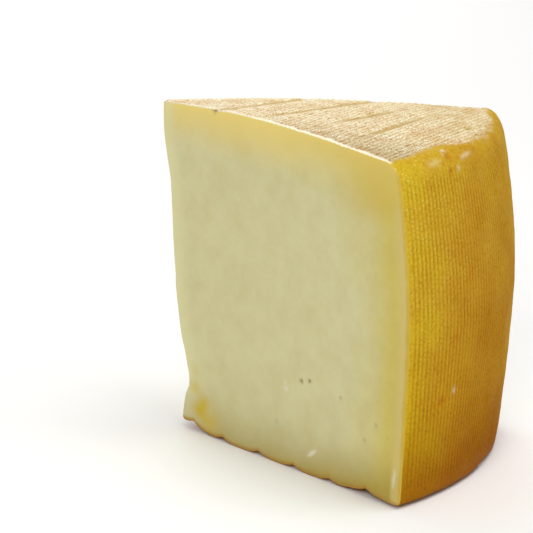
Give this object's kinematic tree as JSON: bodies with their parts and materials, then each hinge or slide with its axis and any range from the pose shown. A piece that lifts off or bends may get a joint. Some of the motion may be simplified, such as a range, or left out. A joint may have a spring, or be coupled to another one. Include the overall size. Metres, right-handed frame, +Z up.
{
  "type": "wedge of smoked hard sheep's milk cheese",
  "caption": "Thick wedge cut from a smoked pressed cheese wheel: pale firm paste on the cut faces, amber cloth-ribbed rind on the rim, creased pale top and rack-scalloped base",
  "frame": {"origin": "centre of the bounding box at the height of the surface the wedge stands on", "axes": "+Z up; +X from the thin tip at the wheel's middle towards the ribbed rim, halfway between the two cuts; +Y towards the second cut"},
  "size_m": [0.1028, 0.089, 0.0956],
  "materials": {
    "cheese": "waxy ivory paste with a satin amber rind"
  },
  "bodies": {
    "root": {"cheese_wedge": "cheese"}
  },
  "joints": []
}
